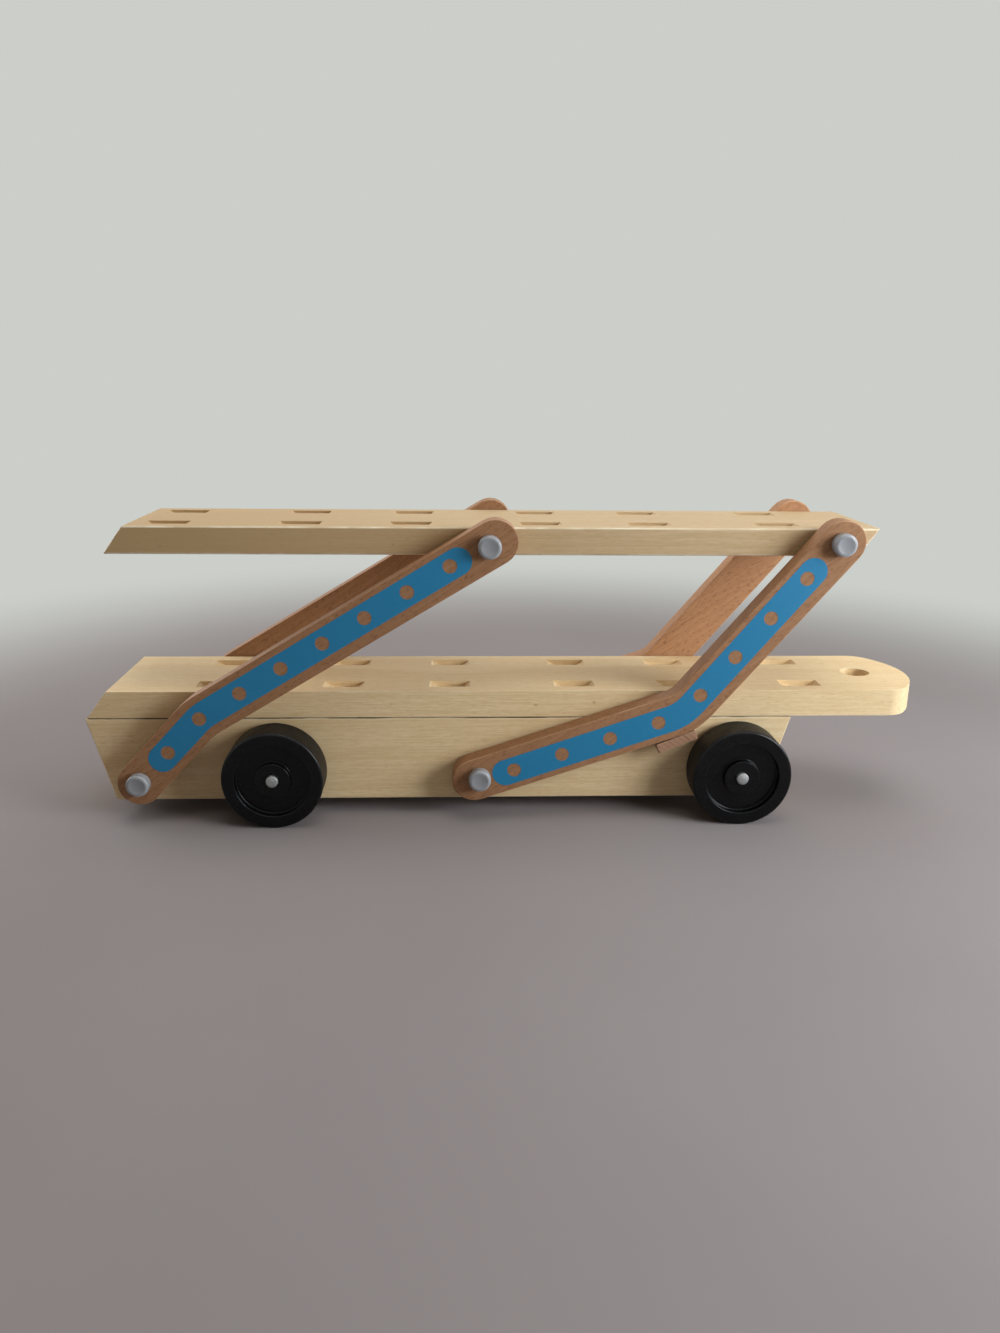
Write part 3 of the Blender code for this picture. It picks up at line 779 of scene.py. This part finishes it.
def moulded_finish(name, colour, scuffed, dusty, roughness, sheen, seed, skin_bump, dust_depth, tread=False):
    """Moulded plastic, turned about its own Z axis, whose gloss is broken by skin, scuffs and dust."""
    material, tree, shader = new_finish(name)
    place = place_in_mm(tree)
    skin = use_group(tree, moulded_skin, Place=place, Seed=seed)
    along_axis = surface_facing(tree)["Z"]
    outwards = maths(tree, "SQRT", minus(tree, 1.0, maths(tree, "POWER", along_axis, 2.0)))
    edges = use_group(tree, edge_wear_and_highlight, Place=place, One_Way=along_axis, Other_Way=outwards, Seed=seed)
    dusted = tinted(tree, times(tree, skin["Dust"], dust_depth), colour, dusty)
    marked = tinted(tree, times(tree, skin["Scuffs"], PLASTIC_SCUFF_DEPTH), dusted, scuffed)
    surface_colour = tinted(tree, times(tree, edges["Wear And Highlight"], PLASTIC_RUB_DEPTH), marked, scuffed)
    gloss = spread(tree, skin["Skin"], *NOISE_MIDDLE, roughness - SKIN_SMOOTHER, roughness + SKIN_ROUGHER)
    rough = plus(tree, gloss, times(tree, skin["Dust"], DUST_ROUGHER))
    if tread:
        rough = plus(tree, rough, tread_dulling(tree, place))
    tree.links.new(surface_colour, shader.inputs["Base Color"])
    tree.links.new(rough, shader.inputs["Roughness"])
    shader.inputs["Specular IOR Level"].default_value = sheen
    set_bump(tree, shader, skin["Skin"], SKIN_RELIEF, skin_bump)
    return material


def pin_finish():
    return moulded_finish(
        "light grey plastic", GREY_PLASTIC, GREY_SCUFFED, GREY_DUSTY, roughness=0.30, sheen=0.5, seed=1.0,
        skin_bump=0.25, dust_depth=0.25,
    )


def wheel_finish():
    return moulded_finish(
        "black plastic", BLACK_PLASTIC, BLACK_SCUFFED, BLACK_DUSTY, roughness=0.24, sheen=0.24, seed=2.0,
        skin_bump=0.2, dust_depth=0.2, tread=True,
    )


def glue_finish():
    """Dried glue and grime in the joint under the lower deck, darker in some places than in others."""
    material, tree, shader = new_finish("dried glue")
    breaks = use_group(tree, joint_breaks, Place=place_in_mm(tree))["Breaks"]
    dried = tinted(tree, spread(tree, breaks, *GLUE_SPAN), JOINT_SHADE_AND_DARK_GLUE, JOINT_GLUE)
    tree.links.new(dried, shader.inputs["Base Color"])
    tree.links.new(spread(tree, breaks, *NOISE_MIDDLE, *GLUE_ROUGHNESS), shader.inputs["Roughness"])
    return material


def zinc_finish():
    """Zinc-plated rod whose ends were struck to a dome."""
    material, tree, shader = new_finish("zinc plated steel")
    place = place_in_mm(tree)
    skin = use_group(tree, moulded_skin, Place=place, Seed=3.0)
    plating = tinted(tree, skin["Dust"], ZINC_BRIGHT, ZINC_DULL)
    tree.links.new(plating, shader.inputs["Base Color"])
    shader.inputs["Metallic"].default_value = 1.0
    tree.links.new(spread(tree, skin["Skin"], *NOISE_MIDDLE, *ZINC_ROUGHNESS), shader.inputs["Roughness"])
    blows = add_node(tree, "TexVoronoi", {"Vector": place, "Scale": BLOW_SCALE}, feature="SMOOTH_F1")
    set_bump(tree, shader, blows.outputs["Distance"], BLOW_RELIEF, BLOW_BUMP)
    return material


def seen_directly(tree):
    """One for rays from the camera, off gloss or through glass, which show the pale backdrop."""
    ray = add_node(tree, "LightPath").outputs
    mirrored = maths(tree, "MAXIMUM", ray["Is Glossy Ray"], ray["Is Transmission Ray"])
    return maths(tree, "MAXIMUM", ray["Is Camera Ray"], mirrored)


def floor_finish():
    """Painted studio floor with the faintest mottling, which fades into the backdrop around the trailer."""
    material, tree, shader = new_finish("studio floor")
    spot = add_node(tree, "TexCoord").outputs["Object"]
    cloud = noise(tree, spot, scale=FLOOR_MOTTLING, detail=5.0)["Fac"]
    mottled = tinted(tree, spread(tree, cloud, *NOISE_MIDDLE), FLOOR_DARK, FLOOR_LIGHT)
    tree.links.new(mottled, shader.inputs["Base Color"])
    tree.links.new(spread(tree, cloud, *NOISE_MIDDLE, *FLOOR_ROUGHNESS), shader.inputs["Roughness"])
    shader.inputs["Specular IOR Level"].default_value = FLOOR_SHEEN
    far = spread(tree, length(tree, spot), *BACKDROP_FADE)
    shown = times(tree, far, seen_directly(tree))
    glow = add_node(tree, "Emission", {"Color": BACKDROP_COLOUR})
    fade = add_node(tree, "MixShader", {0: shown, 1: shader.outputs[0], 2: glow.outputs[0]})
    tree.links.new(fade.outputs[0], tree.nodes["Material Output"].inputs["Surface"])
    return material


def give_finish(piece, material):
    piece.data.materials.clear()
    piece.data.materials.append(material)


# Wooden pieces


def finish_cad_wood():
    """Finishes for the wooden pieces, which keep their CAD shape."""
    finishes = {
        "lower_deck": lower_deck_finish(),
        "upper_deck": upper_deck_finish(),
        "chassis_block": block_finish(),
    }
    end_grain = stop_finish()
    for side in SIDES:
        finishes[f"arm_stop_{side}"] = end_grain
        for end in ENDS:
            finishes[f"{end}_arm_{side}"] = arm_finish(end, side)
    for name, material in finishes.items():
        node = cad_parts[name]
        give_finish(node, material)
        smooth_cad_edges(node)


def make_glue_bead():
    """Glue that fills the joint between the block and the lower deck, just inside their eased edges."""
    block_low, block_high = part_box("chassis_block")
    deck_low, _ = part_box("lower_deck")
    inset = Vector((GLUE_INSET, GLUE_INSET, 0))
    low = Vector((block_low.x, block_low.y, block_high.z + GLUE_SLACK)) + inset
    high = Vector((block_high.x, block_high.y, deck_low.z - GLUE_SLACK)) - inset
    shape = bmesh.new()
    bmesh.ops.create_cube(shape, size=1.0, matrix=Matrix.Diagonal((*(high - low), 1.0)))
    bead = add_object("glue_bead", finished_mesh("glue_bead", shape))
    bead.location = (low + high) / 2
    give_finish(bead, glue_finish())
    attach(bead, "chassis")


# Turned pieces


def middle(node):
    low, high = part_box(node)
    return (low + high) / 2


def stand_for(piece, node, body, material):
    """Let a finer piece stand for a CAD node on its body."""
    give_finish(piece, material)
    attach(piece, body)
    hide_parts(node)


def make_wheelsets():
    zinc = zinc_finish()
    black_plastic = wheel_finish()
    for end in ENDS:
        body = f"{end}_wheelset"
        hub = middle(f"{end}_axle")
        axle = turned_piece(f"{end}_axle_rod", AXLE_CORNERS, AXLE_STEPS, QUARTER, hub)
        stand_for(axle, f"{end}_axle", body, zinc)
        for side, sign in SIDES.items():
            node = f"{end}_wheel_{side}"
            place = (hub.x, sign * WHEEL_INNER_Y, hub.z)
            wheel = turned_piece(f"{node}_moulding", WHEEL_CORNERS, WHEEL_STEPS, -sign * QUARTER, place)
            stand_for(wheel, node, body, black_plastic)


def make_pins():
    grey_plastic = pin_finish()
    for end in ENDS:
        for level, body in (("lower", "chassis"), ("upper", "upper_deck")):
            for side, sign in SIDES.items():
                node = f"{end}_{level}_pin_{side}"
                spot = middle(node)
                place = (spot.x, sign * PIN_SEAT_Y, spot.z)
                pin = turned_piece(f"{node}_moulding", PIN_CORNERS, PIN_STEPS, -sign * QUARTER, place)
                stand_for(pin, node, body, grey_plastic)


# Printed stripes


def arc(centre, radius, start, end, steps):
    angles = [start + (end - start) * step / steps for step in range(steps + 1)]
    return [centre + radius * Vector((math.cos(angle), math.sin(angle))) for angle in angles]


def stripe_bend(start, elbow, end):
    """Centre, start angle and end angle of the stripe's bend, and which way it turns."""
    first = (elbow - start).normalized()
    second = (end - elbow).normalized()
    turn = math.atan2(first.x * second.y - first.y * second.x, first.dot(second))
    way = math.copysign(1.0, turn)
    reach = STRIPE_BEND * math.tan(abs(turn) / 2)
    centre = elbow - first * reach + Vector((-first.y, first.x)) * way * STRIPE_BEND
    first_angle = math.atan2(first.y, first.x)
    return centre, first_angle - way * QUARTER, first_angle + turn - way * QUARTER, way


def stripe_outline(start, elbow, end):
    """Round-ended band along a bent line."""
    half = STRIPE_HALF_WIDTH
    centre, bend_start, bend_end, way = stripe_bend(start, elbow, end)
    first_angle, second_angle = bend_start + way * QUARTER, bend_end + way * QUARTER
    outline = arc(centre, STRIPE_BEND + way * half, bend_start, bend_end, STRIPE_BEND_STEPS)
    outline += arc(end, half, second_angle - QUARTER, second_angle + QUARTER, STRIPE_CAP_STEPS)
    outline += arc(centre, STRIPE_BEND - way * half, bend_end, bend_start, STRIPE_BEND_STEPS)
    outline += arc(start, half, first_angle + QUARTER, first_angle + 3 * QUARTER, STRIPE_CAP_STEPS)
    return outline


def dot_places(start, elbow, end):
    """Centres of the bare dots, evenly spaced along the stripe's middle line."""
    centre, bend_start, bend_end, _ = stripe_bend(start, elbow, end)
    line = [start, *arc(centre, STRIPE_BEND, bend_start, bend_end, STRIPE_BEND_STEPS), end]
    lengths = [(second - first).length for first, second in zip(line, line[1:])]
    pitch = (sum(lengths) - 2 * DOT_INSET) / (DOT_COUNT - 1)
    places = []
    for number in range(DOT_COUNT):
        left = DOT_INSET + number * pitch
        for first, second, stretch in zip(line, line[1:], lengths):
            if left <= stretch:
                break
            left -= stretch
        places.append(first + (second - first) * (left / stretch))
    return places


def dot_outline(place):
    """A bare dot's circle, without its last point, which is also its first."""
    return arc(place, DOT_RADIUS, 0.0, math.tau * (1 - 1 / DOT_POINTS), DOT_POINTS - 1)


def stripe_mesh(name, outlines):
    """A thin sheet of ink inside the first outline, with the other outlines as holes."""
    curve = bpy.data.curves.new(name, "CURVE")
    curve.dimensions = "2D"
    curve.fill_mode = "BOTH"
    curve.extrude = STRIPE_THICKNESS / 2
    for outline in outlines:
        spline = curve.splines.new("POLY")
        spline.points.add(len(outline) - 1)
        for point, place in zip(spline.points, outline):
            point.co = (place.x, place.y, 0.0, 1.0)
        spline.use_cyclic_u = True
    source = add_object(name, curve)
    graph = bpy.context.evaluated_depsgraph_get()
    mesh = bpy.data.meshes.new_from_object(source.evaluated_get(graph))
    bpy.data.objects.remove(source)
    bpy.data.curves.remove(curve)
    shape = bmesh.new()
    shape.from_mesh(mesh)
    bmesh.ops.remove_doubles(shape, verts=shape.verts, dist=WELD)
    bmesh.ops.recalc_face_normals(shape, faces=shape.faces)
    shape.to_mesh(mesh)
    shape.free()
    return mesh


def make_stripes():
    blue_print = blue_print_finish()
    middle_y = ARM_FACE_Y + STRIPE_LIFT + STRIPE_THICKNESS / 2
    for end, corners in STRIPE_ENDS.items():
        start, elbow, tip = (Vector(corner) * MM for corner in corners)
        pivot_x, pivot_z = LOWER_PIVOTS[end]
        dots = [dot_outline(place) for place in dot_places(start, elbow, tip)]
        mesh = stripe_mesh(f"{end}_stripe", [stripe_outline(start, elbow, tip), *dots])
        for side, sign in SIDES.items():
            stripe = add_object(f"{end}_stripe_{side}", mesh.copy())
            stripe.rotation_euler = (QUARTER, 0, 0)
            stripe.location = (pivot_x, sign * middle_y, pivot_z)
            give_finish(stripe, blue_print)
            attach(stripe, f"{end}_arms")


# Studio


def make_camera():
    data = bpy.data.cameras.new("photo_view")
    data.lens = LENS_MM
    data.sensor_width = SENSOR_MM
    data.clip_start = CAMERA_NEAR
    camera = add_object("photo_view", data)
    aim = Euler((QUARTER - CAMERA_PITCH, 0, -CAMERA_YAW)).to_matrix() @ Matrix.Rotation(CAMERA_ROLL, 3, "Z")
    camera.matrix_world = Matrix.Translation(CAMERA_PLACE) @ aim.to_4x4()
    bpy.context.scene.camera = camera


def make_floor():
    shape = bmesh.new()
    bmesh.ops.create_circle(shape, cap_ends=True, radius=FLOOR_RADIUS, segments=FLOOR_POINTS)
    floor = add_object("studio_floor", finished_mesh("studio_floor", shape))
    floor.location.z = -FLOOR_DROP
    give_finish(floor, floor_finish())


def make_lamp(name, place, target, size, power, colour, fan=math.pi):
    data = bpy.data.lights.new(name, "AREA")
    data.shape = "DISK"
    data.size = size
    data.energy = power
    data.color = colour
    data.spread = fan
    lamp = add_object(name, data)
    lamp.location = place
    lamp.rotation_euler = (Vector(target) - Vector(place)).to_track_quat("-Z", "Y").to_euler()


def make_lamps():
    """A window at the right, with the cool light along its edge, and soft light off walls and ceiling."""
    make_lamp("window", place=(0.42, -0.265, 0.215), target=(0.05, 0, 0.06), size=0.26, power=2.14,
              colour=(0.94, 0.97, 1.0))
    make_lamp("window edge", place=(0.60, -0.155, 0.15), target=(0.03, 0, 0.06), size=0.20, power=0.16,
              colour=(0.73, 0.87, 1.0), fan=math.radians(80))
    make_lamp("back wall", place=(0.15, 0.72, 0.40), target=(0, 0, 0.06), size=0.9, power=1.4,
              colour=(1.0, 1.0, 0.97))
    make_lamp("left wall", place=(-0.65, 0.35, 0.35), target=(0, 0, 0.06), size=0.8, power=4.0,
              colour=(0.98, 0.98, 1.0))
    make_lamp("ceiling", place=(0.10, 0.0, 0.95), target=(0, 0, 0.05), size=0.8, power=4.0,
              colour=(1.0, 0.97, 0.92))


def make_room():
    """A world that lights the trailer with the room's warm light and shows the pale backdrop."""
    world = bpy.data.worlds.new("studio")
    world.use_nodes = True
    tree = world.node_tree
    room = tree.nodes["Background"]
    room.inputs["Color"].default_value = ROOM_LIGHT
    room.inputs["Strength"].default_value = ROOM_STRENGTH
    backdrop = add_node(tree, "Background", {"Color": BACKDROP_COLOUR})
    shown = seen_directly(tree)
    choice = add_node(tree, "MixShader", {0: shown, 1: room.outputs[0], 2: backdrop.outputs[0]})
    tree.links.new(choice.outputs[0], tree.nodes["World Output"].inputs["Surface"])
    bpy.context.scene.world = world


make_camera()
make_floor()
make_lamps()
make_room()
finish_cad_wood()
make_glue_bead()
make_wheelsets()
make_pins()
make_stripes()
bpy.context.scene.view_settings.view_transform = "Standard"
